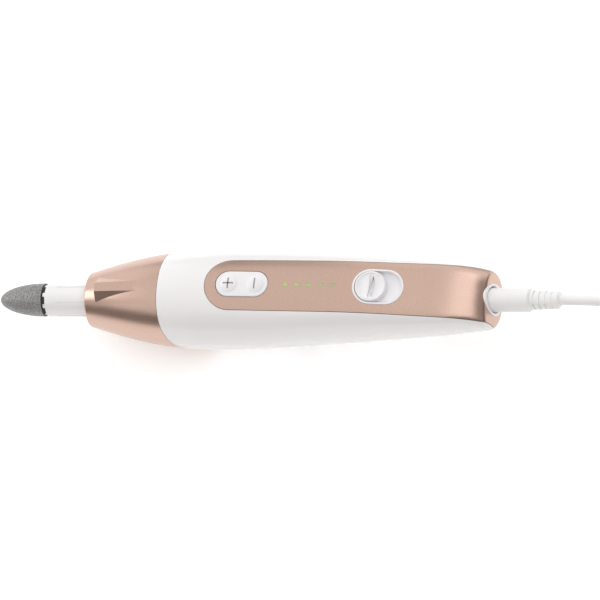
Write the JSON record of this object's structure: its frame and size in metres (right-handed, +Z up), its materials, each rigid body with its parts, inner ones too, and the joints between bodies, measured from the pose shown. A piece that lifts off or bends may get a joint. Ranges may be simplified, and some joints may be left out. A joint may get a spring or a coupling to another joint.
{
  "type": "electric callus remover",
  "caption": "Pen-shaped electric callus remover: a motor handpiece spins an abrasive cone, with rocker button, sliding switch, light row and a plug-in DC lead with wall adapter.",
  "frame": {"origin": "middle of the handpiece's length and width, on the surface that its belly flat rests on", "axes": "+X along the handpiece from the abrasive cone to the lead, +Z up out of the control plate"},
  "size_m": [0.4799, 0.037, 0.046],
  "materials": {
    "rose_gold": "satin metallic rose-gold coating",
    "white_gloss": "glossy white ABS",
    "white_trim": "semi-gloss white ABS",
    "green_light": "translucent green light guide",
    "led_body": "clear LED lens",
    "abrasive_grit": "sharp grey mineral grit, matte",
    "black_plastic": "matte black plastic",
    "steel": "ground steel",
    "zinc_plate": "zinc-plated sheet steel",
    "magnet": "dark sintered ferrite and laminated iron",
    "copper": "bare copper alloy",
    "nickel": "nickel plate",
    "aluminium": "turned aluminium",
    "felt": "pressed felt",
    "board_green": "solder-masked laminate",
    "wire_red": "insulated hook-up wire",
    "white_cord": "soft white PVC",
    "tie_strap": "woven black hook-and-loop strap",
    "white_case": "fine-textured white ABS"
  },
  "bodies": {
    "handpiece": {"nose_cone": "rose_gold", "upper_housing": "white_gloss", "lower_housing": "white_gloss", "control_plate": "rose_gold", "switch_bezel": "white_trim", "socket_ring": "white_trim", "light_guide": "green_light", "rocker_pin": "steel", "bearing_carrier": "aluminium", "front_bearing_outer": "steel", "rear_bearing_outer": "steel", "felt_seal": "felt", "motor_can": "zinc_plate", "motor_end_cap": "black_plastic", "motor_magnets": "magnet", "motor_terminals": "copper", "motor_screws": "steel", "circuit_board": "board_green", "plus_switch": "black_plastic", "minus_switch": "black_plastic", "status_leds": "led_body", "slide_switch_body": "black_plastic", "control_chip": "black_plastic", "filter_capacitor": "black_plastic", "board_screws": "steel", "housing_screws": "steel", "motor_leads": "wire_red", "jack_leads": "wire_red", "jack_body": "black_plastic", "jack_pin": "nickel"},
    "drive": {"spindle": "steel", "drive_sleeve": "white_gloss", "front_bearing_inner": "steel", "rear_bearing_inner": "steel", "bearing_balls": "steel", "shaft_coupling": "black_plastic", "motor_armature": "magnet", "motor_commutator": "copper", "motor_shaft": "steel"},
    "attachment": {"abrasive_cone": "abrasive_grit", "cone_hub": "black_plastic", "cone_shank": "steel"},
    "rocker": {"rocker_button": "white_trim"},
    "knob": {"slide_knob": "white_trim"},
    "lead": {"plug_body": "white_cord", "plug_barrel": "nickel", "plug_relief": "white_cord", "cord_run": "white_cord", "cord_hank": "white_cord", "cord_tail": "white_cord", "cord_tie": "tie_strap", "adapter_case": "white_case", "adapter_cover": "white_case", "adapter_pins": "nickel", "adapter_relief": "white_cord", "adapter_board": "board_green", "adapter_transformer": "magnet"}
  },
  "joints": [
    {"name": "spindle_spin", "type": "hinge", "parent": "handpiece", "child": "drive", "pos_m": [-0.04675, 0, 0.0181], "axis": [1, 0, 0], "continuous": true},
    {"name": "attachment_pull", "type": "slide", "parent": "drive", "child": "attachment", "axis": [-1, 0, 0], "range_m": [0, 0.03]},
    {"name": "rocker_tilt", "type": "hinge", "parent": "handpiece", "child": "rocker", "pos_m": [0.00325, 0, 0.0322], "axis": [0, 1, 0], "range_deg": [-2.5, 2.5], "stiffness_Nm_per_rad": 0.05},
    {"name": "power_slide", "type": "slide", "parent": "handpiece", "child": "knob", "axis": [0.9936, 0, -0.1132], "range_m": [0, 0.0055]},
    {"name": "plug_pull", "type": "slide", "parent": "handpiece", "child": "lead", "axis": [1, 0, 0], "range_m": [0, 0.012]}
  ]
}
